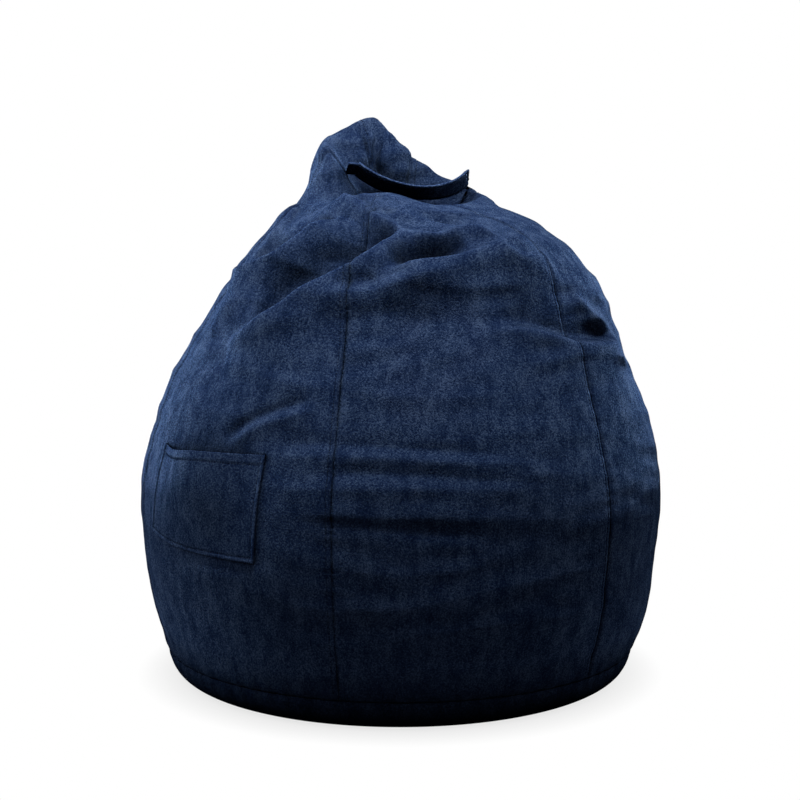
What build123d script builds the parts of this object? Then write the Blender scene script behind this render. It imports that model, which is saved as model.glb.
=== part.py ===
from build123d import *
from math import asin, cos, degrees, exp, pi, radians, sin
import os

# Teardrop bean bag chair: six sewn gores, round base, carry handle, side pocket, zips, inner bag and filling.
# Millimetres. The origin is the middle of the base on the floor, +Z is up and -Y is the front of the seat.
# An azimuth is 0 at the front and grows through the right-hand side (+X), so the pocket's side (-X) is 270.

# Driving dimensions of the filled bag
EQUATOR_R = 402.0
EQUATOR_Z = 272.0
RIM_R = 38.0
WALL_LEAN = 20.0
CLOTH = 2.0
GORES = 6
GORE_ANGLE = 360 / GORES
GORE_STEPS = 12
WALL_LEVELS = 4

# The slack top: the cloth stands up as a hood behind the top patch and dips to a lip in front of it.
# The hood falls away on its right, and on its left it ends in a step; the lip is higher at the front left.
HOOD_AZIMUTH = 164.0
HOOD_PEAK = 12.0
HOOD_FALL = 66.0
HOOD_STEP = 0.9
HOOD_STEP_START = 72.0
HOOD_STEP_TURN = 30.0
HOOD_FOOT = 0.3
LIP_AZIMUTH = 300.0
LIP_SPREAD = 34.0
SIDE_AZIMUTH = 43.0
PATCH_R = 46.0
PATCH_Z = 700.0

# Each ring of the upper bag: height and radius at the lip, height and radius at the hood,
# sideways shift and oval, both along SIDE_AZIMUTH, and the rise of the lip
UPPER_RINGS = [
    dict(lip=(330, 398), hood=(330, 398), shift=1, oval=0, rise=0),
    dict(lip=(400, 380), hood=(400, 380), shift=3, oval=0, rise=0),
    dict(lip=(475, 352), hood=(475, 352), shift=4, oval=0, rise=0),
    dict(lip=(545, 316), hood=(545, 316), shift=10, oval=0, rise=0),
    dict(lip=(605, 283), hood=(605, 283), shift=22, oval=0, rise=0),
    dict(lip=(652, 248), hood=(656, 246), shift=18, oval=0, rise=0),
    dict(lip=(688, 200), hood=(706, 194), shift=14, oval=2, rise=4),
    dict(lip=(710, 148), hood=(750, 150), shift=2, oval=4, rise=12),
    dict(lip=(715, 124), hood=(815, 120), shift=2, oval=14, rise=18),
    dict(lip=(716, 102), hood=(866, 96), shift=4, oval=20, rise=20),
    dict(lip=(706, 74), hood=(790, 70), shift=8, oval=16, rise=8),
    dict(lip=(701, 56), hood=(722, 56), shift=3, oval=4, rise=1),
]
# Each gore is worked out at this many steps up its length, closer together towards its two ends
CLOTH_LEVELS = 40
CLOTH_CROWDING = 0.3

# The main folds of the slack cloth, from left to right: points of azimuth and share of the way up a gore,
# the widths of the upper and lower flanks and how far the cloth stands out; a valley is negative
FOLDS = [
    dict(
        line=[(244, 0.62), (251, 0.66), (265, 0.69), (274, 0.71), (282, 0.75), (289, 0.79)],
        above=24,
        below=45,
        size=19,
    ),
    dict(
        line=[(272, 0.59), (282, 0.62), (293, 0.67), (302, 0.71), (308, 0.74)],
        above=36,
        below=20,
        size=-15,
    ),
    dict(
        line=[(269, 0.56), (279, 0.59), (291, 0.64), (300, 0.68), (309, 0.72), (315, 0.76)],
        above=24,
        below=50,
        size=19,
    ),
    dict(
        line=[(314, 0.67), (327, 0.7), (338, 0.72), (357, 0.75)],
        above=22,
        below=42,
        size=12,
    ),
    dict(
        line=[(208, 0.69), (222, 0.7), (238, 0.7), (252, 0.69)],
        above=20,
        below=40,
        size=12,
    ),
    dict(
        line=[(334, 0.58), (355, 0.56), (370, 0.545), (388, 0.545)],
        above=20,
        below=38,
        size=9,
    ),
]

# Base seam and the zip let into it
SEAM_Z = 44.0
ZIP_START = 60.0
ZIP_END = 180.0
ZIP_SLOT = 13.0
TAPE_W = 14.0
TAPE_T = 0.8
TAPE_DEPTH = 2.4
COIL_W = 2.9
COIL_T = 2.2
CHAIN_GAP = 0.75
ZIP_CLEARANCE = 0.4
SLIDER_L = 12.0
SLIDER_TAIL = 0.9
SLIDER_PLATE = 1.6
SLIDER_SIDE = 1.2
SLIDER_TRIM = 1.0
SLIDER_WEB = 0.7
SLIDER_ROUND = 1.2
STOP_L = 3.0
STOP_END = 1.0
TAPE_END = 0.5
PULL_L = 26.0
PULL_W = 7.5
PULL_T = 1.4
PULL_WINDOW = 5.4
PULL_HOLE_R = 1.6
PULL_BAR_R = 0.75
PULL_BAR_L = 6.0
PULL_SLOT = 3.5
PULL_ROUND = 2.5
PULL_CLEARANCE = 0.3
BRIDGE_L = 8.0
BRIDGE_W = 2.2
BRIDGE_H = 3.2
BRIDGE_LEG = 1.6

# Patch pocket on the left gore
POCKET_AZIMUTH = 268.5
POCKET_W = 230.0
POCKET_BOTTOM = 248.0
POCKET_TOP = 392.0
POCKET_GAPE = 26.0
POCKET_LIFT = 0.8
POCKET_SECTIONS = 9
POCKET_LEVELS = 5

# Carry handle: a folded strap sewn into two opposite seams, bridging the top patch
HANDLE_LEFT = dict(azimuth=240.0, radius=68.0, z=776.0)
HANDLE_RIGHT = dict(azimuth=60.0, radius=108.0, z=764.0)
HANDLE_BOW = 42.0
HANDLE_FALL = 45.0
HANDLE_W = 28.0
HANDLE_T = 3.6
HANDLE_GAP = 0.5
HANDLE_TAB_W = 22.0
HANDLE_TAB_T = 5.0
HANDLE_TAB_L = 36.0
HANDLE_TAB_ROUND = 1.6

# Inner bag: a few heights and corner radii of its twelve-sided shape; the filling sits just inside it
LINER_T = 0.8
LINER_SIDES = 12
LINER_RINGS = [(13, 296), (40, 340), (130, 374), (272, 386), (400, 362), (545, 294), (638, 214), (668, 150)]
FILL_CLEARANCE = 0.6
FILL_BASE_CLEARANCE = 3.0
LINER_ZIP_L = 420.0
LINER_ZIP_DROP = 3.4

WALL_R = (EQUATOR_Z - RIM_R * (1 - sin(radians(WALL_LEAN)))) / sin(radians(WALL_LEAN))
RIM_JOIN_R = EQUATOR_R - WALL_R * (1 - cos(radians(WALL_LEAN)))
CONTACT_R = RIM_JOIN_R - RIM_R * cos(radians(WALL_LEAN))
SEAM_LEAN = asin((EQUATOR_Z - SEAM_Z) / WALL_R)
SEAM_R = EQUATOR_R - WALL_R * (1 - cos(SEAM_LEAN))
FAR = 2 * EQUATOR_R
OVERCUT = 1.0
UP = Vector(0, 0, 1)


def direction(azimuth):
    """Unit vector out from the axis at an azimuth."""
    return Vector(sin(radians(azimuth)), -cos(radians(azimuth)), 0)


def at(azimuth, radius, z):
    return direction(azimuth) * radius + UP * z


def arc_angle(length):
    """Angle about the axis of a length measured along the base seam."""
    return degrees(length / SEAM_R)


# Outer cover


def lower_body(inset):
    """The bag below the equator, base and rim and wall in one turned profile, taken in by an inset."""
    lean = Vector(cos(radians(WALL_LEAN)), -sin(radians(WALL_LEAN)))
    rim_way = Vector(cos(radians(45 + WALL_LEAN / 2)), -sin(radians(45 + WALL_LEAN / 2)))
    wall_way = Vector(cos(radians(WALL_LEAN / 2)), -sin(radians(WALL_LEAN / 2)))
    rim_centre = Vector(CONTACT_R, RIM_R)
    wall_centre = Vector(EQUATOR_R - WALL_R, EQUATOR_Z)
    foot = Vector(CONTACT_R, inset)
    join = rim_centre + lean * (RIM_R - inset)
    equator = Vector(EQUATOR_R - inset, EQUATOR_Z)
    outline = [
        Line((0, inset), foot),
        ThreePointArc(foot, rim_centre + rim_way * (RIM_R - inset), join),
        ThreePointArc(join, wall_centre + wall_way * (WALL_R - inset), equator),
        Line(equator, (0, EQUATOR_Z)),
        Line((0, EQUATOR_Z), (0, inset)),
    ]
    return revolve(Plane.XZ * make_face(outline), Axis.Z)


def slab(bottom, top):
    return Pos(0, 0, (bottom + top) / 2) * Box(2 * FAR, 2 * FAR, top - bottom)


def wedge(start, end):
    """Sector of space between two azimuths, less than half a turn apart."""
    return extrude(make_face(Polyline((0, 0), direction(start) * FAR, direction(end) * FAR, close=True)), FAR)


def base_panel():
    """Round base with its rim turned up to the base seam, cut back along the zip."""
    panel = (lower_body(0) - lower_body(CLOTH)) & slab(-OVERCUT, SEAM_Z)
    zip_zone = wedge(ZIP_START, ZIP_END) & slab(SEAM_Z - ZIP_SLOT / 2, SEAM_Z + OVERCUT)
    return panel - zip_zone


def wall_radius(z):
    return EQUATOR_R - WALL_R + (WALL_R**2 - (EQUATOR_Z - z) ** 2) ** 0.5


def turned(angle):
    """An angle brought between -180 and 180."""
    return (angle + 180) % 360 - 180


def hood_share(azimuth):
    """How far the cloth at an azimuth belongs to the hood: 1 at its peak, 0 at the lip opposite."""
    away = turned(azimuth - HOOD_AZIMUTH)
    slow = (1 + cos(radians(away))) / 2
    if away >= 0:
        step = min(max((away - HOOD_STEP_START) / HOOD_STEP_TURN, 0), 1)
        return slow * (1 - HOOD_STEP * step**2 * (3 - 2 * step))
    return exp(-((away**2 + HOOD_PEAK**2) ** 0.5 - HOOD_PEAK) / HOOD_FALL) * slow**HOOD_FOOT


def ring_point(ring, azimuth):
    """Radius and height of one ring of the upper bag at an azimuth."""
    share = hood_share(azimuth)
    rise = exp(-((turned(azimuth - LIP_AZIMUTH) / LIP_SPREAD) ** 2))
    side = radians(azimuth - SIDE_AZIMUTH)
    z = ring["lip"][0] + share * (ring["hood"][0] - ring["lip"][0]) + rise * ring["rise"]
    r = ring["lip"][1] + share * (ring["hood"][1] - ring["lip"][1])
    return r + ring["shift"] * cos(side) + ring["oval"] * cos(2 * side), z


def fold_lift(fold, azimuth, share, radius, length):
    """How far one fold lifts the cloth at an azimuth and share of the way up a gore of some length."""
    line = fold["line"]
    nearest = FAR
    lift = 0
    for index in range(len(line) - 1):
        x = radius * radians(turned(azimuth - line[index][0]))
        y = length * (share - line[index][1])
        run = radius * radians(line[index + 1][0] - line[index][0])
        climb = length * (line[index + 1][1] - line[index][1])
        along = min(max((x * run + y * climb) / (run**2 + climb**2), 0), 1)
        off_x = x - along * run
        off_y = y - along * climb
        distance = (off_x**2 + off_y**2) ** 0.5
        if distance < nearest:
            nearest = distance
            width = fold["above"] if run * off_y > climb * off_x else fold["below"]
            from_end = min(index + along, len(line) - 1 - index - along)
            lift = fold["size"] * sin(radians(90 * min(from_end, 1))) * exp(-((distance / width) ** 2))
    return lift


def cloth_line(azimuth, foot, middle):
    """Pairs of points on the cloth's outer and inner faces, from the base seam up to the patch."""
    line = []
    for step in range(WALL_LEVELS + 1):
        z = foot + (EQUATOR_Z - foot) * step / WALL_LEVELS
        line.append((wall_radius(z), 0, z))
    for ring in UPPER_RINGS:
        r, z = ring_point(ring, azimuth)
        line.append((r, 0, z))
    patch_side = PATCH_R * cos(radians(GORE_ANGLE / 2)) / cos(radians(azimuth - middle))
    line.append((patch_side, 0, PATCH_Z))
    curve = Edge.make_spline(line)
    pairs = []
    for level in range(CLOTH_LEVELS + 1):
        turn = 2 * pi * level / CLOTH_LEVELS
        share = (turn - CLOTH_CROWDING * sin(turn)) / (2 * pi)
        point = curve.position_at(share)
        way = curve.tangent_at(share)
        lift = sum(fold_lift(fold, azimuth, share, point.X, curve.length) for fold in FOLDS)
        point += Vector(way.Z, 0, -way.X) * lift
        if level == 0:
            inner = (point.X - CLOTH / way.Z, point.Z)
        elif level == CLOTH_LEVELS:
            inner = (point.X, point.Z - CLOTH)
        else:
            inner = (point.X - CLOTH * way.Z, point.Z + CLOTH * way.X)
        pairs.append((at(azimuth, point.X, point.Z), at(azimuth, *inner)))
    return pairs


def gore(start):
    """One side panel, from the base seam over the shoulder and the hood to its side of the top patch."""
    zipped = ZIP_START <= start < ZIP_END
    foot = SEAM_Z + (ZIP_SLOT / 2 if zipped else 0)
    azimuths = [start + GORE_ANGLE * step / GORE_STEPS for step in range(GORE_STEPS + 1)]
    lines = [cloth_line(azimuth, foot, start + GORE_ANGLE / 2) for azimuth in azimuths]
    sections = []
    for level in zip(*lines):
        outer = [pair[0] for pair in level]
        inner = [pair[1] for pair in level]
        edges = [
            Edge.make_spline(outer),
            Edge.make_line(outer[-1], inner[-1]),
            Edge.make_spline(inner[::-1]),
            Edge.make_line(inner[0], outer[0]),
        ]
        sections.append(Wire(edges))
    return Solid.make_loft(sections, ruled=True)


def top_patch():
    """Six-sided patch that closes the gores at the bottom of the dip."""
    return Pos(0, 0, PATCH_Z) * extrude(RegularPolygon(PATCH_R, GORES, rotation=30), -CLOTH)


# Zips: a section is drawn across the chain, then carried round the base seam or straight along the inner bag


def box_corners(low, high, bottom, top):
    return [(low, bottom), (high, bottom), (high, top), (low, top)]


TAPE = box_corners(CHAIN_GAP, CHAIN_GAP + TAPE_W, -TAPE_DEPTH - TAPE_T, -TAPE_DEPTH)
COIL = box_corners(CHAIN_GAP, CHAIN_GAP + COIL_W, -TAPE_DEPTH, COIL_T - TAPE_DEPTH)
SLIDER_FACE = COIL_T - TAPE_DEPTH + ZIP_CLEARANCE
SLIDER_BACK = -TAPE_DEPTH - TAPE_T - ZIP_CLEARANCE
SLIDER_HALF = CHAIN_GAP + COIL_W + ZIP_CLEARANCE + SLIDER_SIDE
FLANGE_FOOT = ZIP_CLEARANCE - TAPE_DEPTH
SLIDER_BLANK = SLIDER_HALF + SLIDER_TRIM
SLIDER_FRONT_PLATE = box_corners(-SLIDER_BLANK, SLIDER_BLANK, SLIDER_FACE, SLIDER_FACE + SLIDER_PLATE)
SLIDER_BACK_PLATE = box_corners(-SLIDER_BLANK, SLIDER_BLANK, SLIDER_BACK - SLIDER_PLATE, SLIDER_BACK)
SLIDER_FLANGE = box_corners(SLIDER_HALF - SLIDER_SIDE, SLIDER_BLANK, FLANGE_FOOT, SLIDER_FACE)
SLIDER_WEB_BOX = box_corners(-SLIDER_WEB / 2, SLIDER_WEB / 2, SLIDER_BACK, SLIDER_FACE)


def mirrored(corners):
    return [(-across, out) for across, out in corners]


def round_seam(corners, start, end):
    """A chain section carried round the base seam between two azimuths."""
    lean = Vector(sin(SEAM_LEAN), cos(SEAM_LEAN))
    out = Vector(cos(SEAM_LEAN), -sin(SEAM_LEAN))
    points = [Vector(SEAM_R, SEAM_Z) + lean * a + out * b for a, b in corners]
    face = Plane.XZ * make_face(Polyline(*points, close=True))
    return revolve(Rot(0, 0, start - 90) * face, Axis.Z, revolution_arc=end - start)


def straight(corners, start, end):
    """A chain section carried straight along X, with its outer side towards +Z."""
    face = Plane.YZ * make_face(Polyline(*corners, close=True))
    return Pos(start, 0, 0) * extrude(face, end - start)


def slider():
    """Front and back plates joined by a web at the shoulders, with flanges that close the chain."""
    half = SLIDER_L / 2 + SLIDER_TRIM
    body = straight(SLIDER_FRONT_PLATE, -half, half) + straight(SLIDER_BACK_PLATE, -half, half)
    body += straight(SLIDER_FLANGE, -half, half) + straight(mirrored(SLIDER_FLANGE), -half, half)
    body += straight(SLIDER_WEB_BOX, -half, -half / 3)
    return body & extrude(slider_outline(), SLIDER_L, both=True)


def slider_outline():
    """Plan of a slider: broad at the shoulders, narrower at the tail, with rounded corners."""
    shoulder = SLIDER_HALF
    tail = SLIDER_HALF * SLIDER_TAIL
    half = SLIDER_L / 2
    right = [(-half, -shoulder), (0, -shoulder), (half, -tail)]
    left = [(half, tail), (0, shoulder), (-half, shoulder)]
    plan = make_face(Polyline(*right, *left, close=True))
    return fillet(plan.vertices(), SLIDER_ROUND)


def seam_plane(azimuth, lift):
    """Plane on the base seam: x along the chain, y up the wall, z out of the bag."""
    out = direction(azimuth) * cos(SEAM_LEAN) - UP * sin(SEAM_LEAN)
    origin = at(azimuth, SEAM_R, SEAM_Z) + out * lift
    return Plane(origin=origin, x_dir=direction(azimuth + 90), z_dir=out)


SLIDER_TOP = SLIDER_FACE + SLIDER_PLATE
PULL_AXIS_LIFT = SLIDER_TOP + PULL_T / 2 + PULL_CLEARANCE
SLIDER_REST = ZIP_START + arc_angle(STOP_L * 2 + SLIDER_L / 2)


def zip_slider():
    """Slider of the base zip with the arched bridge that holds the pull."""
    bridge_blank = extrude(Rectangle(BRIDGE_L, BRIDGE_W), BRIDGE_H)
    bridge_blank = fillet(bridge_blank.edges().filter_by(Axis.Y).group_by(Axis.Z)[-1], BRIDGE_LEG / 2)
    hole = Rectangle(BRIDGE_L - 2 * BRIDGE_LEG, 2 * BRIDGE_W)
    bridge = bridge_blank - extrude(hole, BRIDGE_H - BRIDGE_LEG / 2)
    return seam_plane(SLIDER_REST, 0) * (slider() + Pos(0, 0, SLIDER_TOP) * bridge)


def zip_pull():
    """Flat pull tab with a cross bar that turns under the bridge."""
    tab = Pos((PULL_L - PULL_BAR_R) / 2, 0) * RectangleRounded(PULL_L + PULL_BAR_R, PULL_W, PULL_ROUND)
    window = Pos(PULL_BAR_R + PULL_WINDOW / 2, 0) * Rectangle(PULL_WINDOW, PULL_SLOT)
    behind = Pos(-PULL_W / 2, 0) * Rectangle(PULL_W, 2 * PULL_W)
    hole = Pos(PULL_L - PULL_W / 2, 0) * Circle(PULL_HOLE_R)
    flat = extrude(tab - window - behind - hole, PULL_T / 2, both=True)
    notch = Pos(PULL_BAR_R / 2, 0, 0) * Box(PULL_BAR_R, PULL_SLOT, PULL_T * 2)
    bar = Rot(90, 0, 0) * Cylinder(PULL_BAR_R, PULL_BAR_L)
    return seam_plane(SLIDER_REST, PULL_AXIS_LIFT) * ((flat - notch) + bar)


def zip_stops():
    """The two clips that stop the slider, one at each end of the chain."""
    clip = box_corners(-CHAIN_GAP - COIL_W, CHAIN_GAP + COIL_W, -TAPE_DEPTH, COIL_T - TAPE_DEPTH)
    start = round_seam(clip, ZIP_START + arc_angle(STOP_END), ZIP_START + arc_angle(STOP_END + STOP_L))
    end = round_seam(clip, ZIP_END - arc_angle(STOP_END + STOP_L), ZIP_END - arc_angle(STOP_END))
    return start + end


liner_plane = Plane(origin=(0, 0, LINER_RINGS[0][0] - LINER_ZIP_DROP), x_dir=(1, 0, 0), z_dir=(0, 0, -1))


def along_liner(corners):
    """A chain section carried straight along X under the inner bag's base."""
    return liner_plane * straight(corners, -LINER_ZIP_L / 2, LINER_ZIP_L / 2)


def liner_slider():
    """Pull-less slider that is moved only by the maker, closed at one end of the inner bag's zip."""
    return liner_plane * (Pos(LINER_ZIP_L / 2 - SLIDER_L / 2, 0, 0) * slider())


# Patch pocket


def pocket():
    """Pocket sheet laid on the left gore, sewn flat at its sides and foot and standing open at its mouth."""
    panel = covers["left_panel"]
    half_angle = degrees(POCKET_W / 2 / EQUATOR_R)
    sections = []
    for step in range(POCKET_SECTIONS):
        across = 2 * step / (POCKET_SECTIONS - 1) - 1
        azimuth = POCKET_AZIMUTH + across * half_angle
        inner = []
        outer = []
        for level in range(POCKET_LEVELS + 1):
            height = level / POCKET_LEVELS
            z = POCKET_BOTTOM + height * (POCKET_TOP - POCKET_BOTTOM)
            hits = panel.find_intersection_points(Axis((0, 0, z), direction(azimuth)))
            surface = max(Vector(point.X, point.Y).length for point, normal in hits)
            gape = POCKET_GAPE * sin(radians(90 * height)) * cos(radians(90 * across)) ** 2
            inner.append(at(azimuth, surface + POCKET_LIFT + gape, z))
            outer.append(at(azimuth, surface + POCKET_LIFT + gape + CLOTH, z))
        edges = [
            Edge.make_spline(inner),
            Edge.make_line(inner[-1], outer[-1]),
            Edge.make_spline(outer[::-1]),
            Edge.make_line(outer[0], inner[0]),
        ]
        sections.append(Wire(edges))
    return Solid.make_loft(sections)


# Carry handle

handle_left = at(**HANDLE_LEFT)
handle_right = at(**HANDLE_RIGHT)
handle_along = (handle_right - handle_left).normalized()
handle_span = (handle_right - handle_left).length
handle_front = direction(HANDLE_RIGHT["azimuth"] - 90)
handle_bow = handle_front * cos(radians(HANDLE_FALL)) - UP * sin(radians(HANDLE_FALL))
handle_bow = (handle_bow - handle_along * handle_bow.dot(handle_along)).normalized()
handle_plane = Plane(
    origin=(handle_left + handle_right) / 2, x_dir=handle_along, z_dir=handle_along.cross(handle_bow)
)
handle_arc_r = (handle_span**2 / 4 + HANDLE_BOW**2) / (2 * HANDLE_BOW)


def carry_handle():
    """Folded strap bowed between its two sewn ends."""
    centre = Vector(0, HANDLE_BOW - handle_arc_r)
    end_way = (Vector(handle_span / 2, 0) - centre).normalized()
    arcs = []
    for offset in (-HANDLE_T / 2, HANDLE_T / 2):
        end = centre + end_way * (handle_arc_r + offset)
        arcs.append((Vector(-end.X, end.Y), Vector(0, HANDLE_BOW + offset), end))
    under, over = arcs
    outline = [
        ThreePointArc(*under),
        Line(under[2], over[2]),
        ThreePointArc(*over),
        Line(over[0], under[0]),
    ]
    return extrude(handle_plane * make_face(outline), HANDLE_W / 2, both=True)


def handle_tab(end, outward, way, seam_gores):
    """Sewn end of the strap, standing on the cloth beside the strap's turning point."""
    in_line = abs(way.dot(outward)) > 0.5
    start = end + outward * (HANDLE_T / 2 + HANDLE_GAP + (0 if in_line else HANDLE_TAB_T / 2))
    across = way.cross(UP if in_line else outward)
    plane = Plane(origin=start, x_dir=across, z_dir=way)
    reach = HANDLE_TAB_L
    for side in (-1, 0, 1):
        for edge in (-1, 0, 1):
            corner = plane.from_local_coords((side * HANDLE_TAB_W / 2, edge * HANDLE_TAB_T / 2, 0))
            for name in seam_gores:
                for point, normal in covers[name].find_intersection_points(Axis(corner, way)):
                    distance = (point - corner).dot(way)
                    if 0 < distance < reach:
                        reach = distance
    return extrude(plane * RectangleRounded(HANDLE_TAB_W, HANDLE_TAB_T, HANDLE_TAB_ROUND), reach - HANDLE_GAP)


# Inner bag and filling


def liner_body(inset, base_inset):
    """Twelve-sided bag shape, taken in by an inset."""
    wires = []
    for index, (z, r) in enumerate(LINER_RINGS):
        lift = base_inset if index == 0 else -inset if index == len(LINER_RINGS) - 1 else 0
        corners = [at(360 * side / LINER_SIDES, r - inset, z + lift) for side in range(LINER_SIDES)]
        wires.append(Wire.make_polygon(corners, close=True))
    return Solid.make_loft(wires, ruled=True)


def inner_liner():
    """Thin inner bag with the slit of its own zip across the base."""
    shell = liner_body(0, 0) - liner_body(LINER_T, LINER_T)
    slit = Pos(0, 0, LINER_RINGS[0][0]) * Box(LINER_ZIP_L, ZIP_SLOT, 2 * (LINER_T + OVERCUT))
    return shell - slit


GORE_STARTS = {
    "front_right_panel": 0,
    "right_panel": 60,
    "rear_right_panel": 120,
    "rear_left_panel": 180,
    "left_panel": 240,
    "front_left_panel": 300,
}
covers = {name: gore(start) for name, start in GORE_STARTS.items()}
tape_start = ZIP_START + arc_angle(TAPE_END)
tape_end = ZIP_END - arc_angle(TAPE_END)
coil_start = ZIP_START + arc_angle(STOP_END + STOP_L + ZIP_CLEARANCE)
coil_end = ZIP_END - arc_angle(STOP_END + STOP_L + ZIP_CLEARANCE)

parts = {
    **covers,
    "base_panel": base_panel(),
    "top_patch": top_patch(),
    "pocket": pocket(),
    "carry_handle": carry_handle(),
    "handle_tab_left": handle_tab(
        handle_left, -handle_along, -handle_along, ["rear_left_panel", "left_panel"]
    ),
    "handle_tab_right": handle_tab(handle_right, handle_along, -UP, ["front_right_panel", "right_panel"]),
    "zip_tape_upper": round_seam(TAPE, tape_start, tape_end),
    "zip_tape_lower": round_seam(mirrored(TAPE), tape_start, tape_end),
    "zip_coil_upper": round_seam(COIL, coil_start, coil_end),
    "zip_coil_lower": round_seam(mirrored(COIL), coil_start, coil_end),
    "zip_stops": zip_stops(),
    "zip_slider": zip_slider(),
    "zip_pull": zip_pull(),
    "inner_liner": inner_liner(),
    "liner_tape_rear": along_liner(mirrored(TAPE)),
    "liner_tape_front": along_liner(TAPE),
    "liner_coil_rear": along_liner(mirrored(COIL)),
    "liner_coil_front": along_liner(COIL),
    "liner_slider": liner_slider(),
    "bead_fill": liner_body(LINER_T + FILL_CLEARANCE, FILL_BASE_CLEARANCE),
}

os.makedirs("parts", exist_ok=True)
for name, shape in parts.items():
    export_step(shape, f"parts/{name}.step")
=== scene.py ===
import math

import bpy
import numpy as np
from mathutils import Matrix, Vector


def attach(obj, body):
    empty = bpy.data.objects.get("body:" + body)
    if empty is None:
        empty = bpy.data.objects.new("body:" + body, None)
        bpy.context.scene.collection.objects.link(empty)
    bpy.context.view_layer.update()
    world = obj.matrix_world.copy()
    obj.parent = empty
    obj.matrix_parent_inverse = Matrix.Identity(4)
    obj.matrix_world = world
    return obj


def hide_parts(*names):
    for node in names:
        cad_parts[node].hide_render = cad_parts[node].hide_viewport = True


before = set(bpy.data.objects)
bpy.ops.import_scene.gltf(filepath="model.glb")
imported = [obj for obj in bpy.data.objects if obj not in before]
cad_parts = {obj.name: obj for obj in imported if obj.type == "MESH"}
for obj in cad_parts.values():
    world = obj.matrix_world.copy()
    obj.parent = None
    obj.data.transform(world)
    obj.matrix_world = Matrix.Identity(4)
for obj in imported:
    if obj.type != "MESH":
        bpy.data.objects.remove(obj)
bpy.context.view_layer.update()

# Filling and inner bag. Loose foam beads fill a thin white nonwoven bag, which keeps them in when the
# cover comes off for washing. It closes with its own white zip across the base, whose slider has no
# pull.
BEAD_WHITE = (0.85, 0.85, 0.84)
LINER_WHITE = (0.74, 0.74, 0.71)
LINER_ZIP_WHITE = (0.70, 0.70, 0.68)


def node(tree, kind, inputs=None, **settings):
    """A shader node with its settings and inputs; an input is a value or another node's output socket."""
    made = tree.nodes.new(kind)
    for key, value in settings.items():
        setattr(made, key, value)
    for key, value in (inputs or {}).items():
        if isinstance(value, bpy.types.NodeSocket):
            tree.links.new(value, made.inputs[key])
        else:
            made.inputs[key].default_value = value
    return made


def grained(name, color, roughness, grain, depth, metallic=0.0, gloss=0.5):
    """A plain finish with a fine grain pressed into it."""
    material = bpy.data.materials.new(name)
    material.use_nodes = True
    tree = material.node_tree
    shader = tree.nodes["Principled BSDF"]
    shader.inputs["Base Color"].default_value = (*color, 1)
    shader.inputs["Roughness"].default_value = roughness
    shader.inputs["Metallic"].default_value = metallic
    shader.inputs["Specular IOR Level"].default_value = gloss
    place = node(tree, "ShaderNodeTexCoord").outputs["Object"]
    noise = node(tree, "ShaderNodeTexNoise", {"Vector": place, "Scale": grain, "Detail": 3.0})
    bump = node(tree, "ShaderNodeBump", {"Height": noise.outputs["Fac"], "Strength": 0.5, "Distance": depth})
    tree.links.new(bump.outputs["Normal"], shader.inputs["Normal"])
    return material


def finish_nodes(material, *names):
    """Gives solids that keep their own shape a finish."""
    for name in names:
        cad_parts[name].material_slots[0].material = material


finish_nodes(grained("bead_foam", BEAD_WHITE, 0.9, 300.0, 0.002), "bead_fill")
finish_nodes(
    grained("liner_nonwoven", LINER_WHITE, 0.85, 700.0, 0.0004),
    "inner_liner",
    "liner_tape_rear",
    "liner_tape_front",
)
finish_nodes(
    grained("liner_zip_plastic", LINER_ZIP_WHITE, 0.45, 900.0, 0.0001),
    "liner_coil_rear",
    "liner_coil_front",
    "liner_slider",
)

# Side gores. Six panels of brushed navy cloth are sewn edge to edge; the filling holds them out up to
# the shoulder, and above it the slack cloth stands up as a hood behind the top patch and folds to a lip
# in front of it.
# Metres and degrees. An azimuth is 0 at the front (-Y) and grows towards +X; a height is a share of the
# way up a gore.
GORES = 6
GORE_ANGLE = 360 / GORES
GORE_NAMES = [
    "front_right_panel",
    "right_panel",
    "rear_right_panel",
    "rear_left_panel",
    "left_panel",
    "front_left_panel",
]
EQUATOR_R = 0.402
EQUATOR_Z = 0.272
WALL_R = 0.7222
SEAM_Z = 0.044
ZIP_SLOT = 0.013
ZIP_START = 60
ZIP_END = 180
PATCH_R = 0.046
PATCH_Z = 0.700
HOOD_AZIMUTH = 164
HOOD_PEAK = 12
HOOD_FALL = 66
HOOD_STEP = 0.9
HOOD_STEP_START = 72
HOOD_STEP_TURN = 30
HOOD_FOOT = 0.3
SIDE_AZIMUTH = 43
LIP_AZIMUTH = 300
LIP_SPREAD = 34
SAG_AZIMUTH = 210
SAG_SPREAD = 26
WALL_RINGS = 5
RING_STEPS = 16
GORE_ROWS = 280
GORE_COLUMNS = 85
EDGE_CROWD = 1.2
NORMAL_RISE = 0.001
NORMAL_TURN = 0.3

# Relief of the cloth. A taut size holds low on the bag, and a slack size is added above the shoulder; a
# span is the length of a wave along the floor and up the bag
GORE_CROWN = 0.003
SLACK_START = 0.42
SLACK_SPAN = 0.3
ROLL_TAUT = 0.0012
ROLL_SLACK = 0.0025
ROLL_SPAN = (0.34, 0.15)
CREASE_TAUT = 0.0008
CREASE_SLACK = 0.0024
CREASE_SPAN = (0.40, 0.085)
RIPPLE_TAUT = 0.0003
RIPPLE_SLACK = 0.0007
RIPPLE_SPAN = (0.09, 0.032)
PUCKER = 0.0004
PUCKER_PITCH = 0.021
PUCKER_WIDTH = 0.014
PUCKER_SPAN = (0.5, 0.06)
PUCKER_WANDER = 4
SEAM_HEM = 0.0025
SEAM_GROOVE = 0.0030
SEAM_WIDTH = 0.0032
SEAM_TUCK = 0.0018
TUCK_RISE = 0.006
SEAM_TURN = 0.006
ZIP_TURN = 0.0012
STITCH_OFFSET = 0.0075
STITCH_DIP = 0.0008
STITCH_DIP_WIDTH = 0.0016
TOP_FADE = 0.06
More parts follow.
